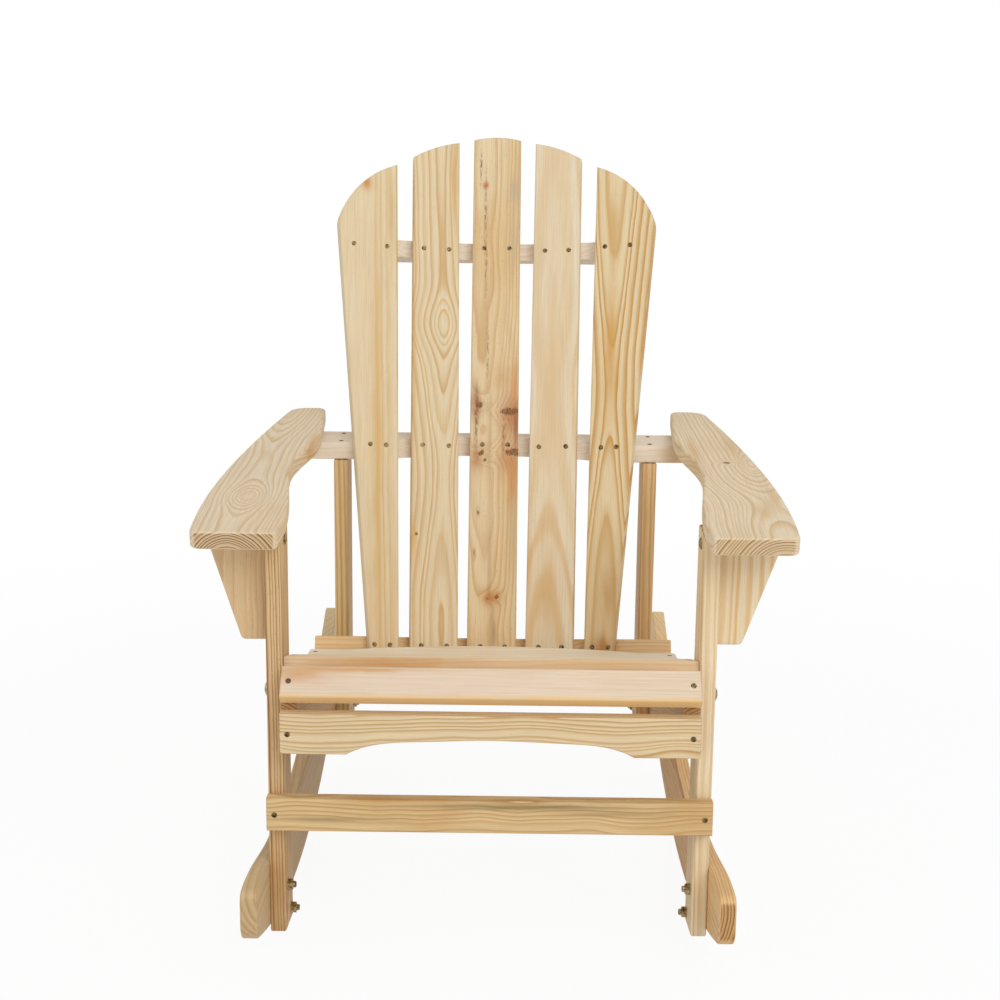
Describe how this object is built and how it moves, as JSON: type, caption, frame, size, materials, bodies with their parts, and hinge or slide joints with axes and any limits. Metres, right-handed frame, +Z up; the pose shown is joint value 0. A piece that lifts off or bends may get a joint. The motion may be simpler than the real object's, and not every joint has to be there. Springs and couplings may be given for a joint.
{
  "type": "rocking adirondack chair",
  "caption": "Slatted garden rocking chair of bare softwood with a curved fan back, broad flat arms and two curved rockers.",
  "frame": {"origin": "on the floor, under the middle of the chair's box", "axes": "+X to the sitter's left, +Y to the rear, +Z up"},
  "size_m": [0.7192, 0.949, 1.0251],
  "materials": {
    "back_boards": "bare planed softwood, pale, with clear grain and knots",
    "arm_boards": "bare planed softwood, pale, with clear grain and knots",
    "seat_boards": "bare planed softwood, pale, with clear grain and knots",
    "rocker_boards": "bare planed softwood, pale, with clear grain and knots",
    "frame_boards": "bare planed softwood, pale, with clear grain and knots",
    "wood_screws": "yellow zinc plated, dull",
    "bolts_and_nuts": "yellow zinc plated",
    "dowels": "plain beech"
  },
  "bodies": {
    "root": {"rocker_left": "rocker_boards", "rocker_right": "rocker_boards", "front_leg_left": "frame_boards", "front_leg_right": "frame_boards", "seat_rail_left": "frame_boards", "seat_rail_right": "frame_boards", "rear_post_left": "frame_boards", "rear_post_right": "frame_boards", "rear_spacer_left": "frame_boards", "rear_spacer_right": "frame_boards", "foot_stretcher": "frame_boards", "front_apron": "seat_boards", "seat_slat_front": "seat_boards", "seat_slat_1": "seat_boards", "seat_slat_2": "seat_boards", "seat_slat_3": "seat_boards", "seat_slat_4": "seat_boards", "lower_back_rail": "frame_boards", "middle_back_rail": "frame_boards", "upper_back_rail": "frame_boards", "back_slat_1": "back_boards", "back_slat_2": "back_boards", "back_slat_3": "back_boards", "back_slat_4": "back_boards", "back_slat_5": "back_boards", "arm_left": "arm_boards", "arm_right": "arm_boards", "arm_bracket_left": "arm_boards", "arm_bracket_right": "arm_boards", "seat_screws": "wood_screws", "seat_slat_front_screws": "wood_screws", "apron_screws": "wood_screws", "stretcher_screws": "wood_screws", "upper_slat_screws": "wood_screws", "middle_slat_screws": "wood_screws", "lower_slat_screws": "wood_screws", "middle_rail_screws": "wood_screws", "lower_rail_screws": "wood_screws", "arm_screws": "wood_screws", "post_screws": "wood_screws", "leg_rocker_bolts": "bolts_and_nuts", "leg_rocker_nuts": "bolts_and_nuts", "leg_rail_bolts": "bolts_and_nuts", "leg_rail_nuts": "bolts_and_nuts", "rear_rocker_bolts": "bolts_and_nuts", "rear_rocker_nuts": "bolts_and_nuts", "bracket_lags": "bolts_and_nuts", "arm_dowels": "dowels"}
  },
  "joints": []
}
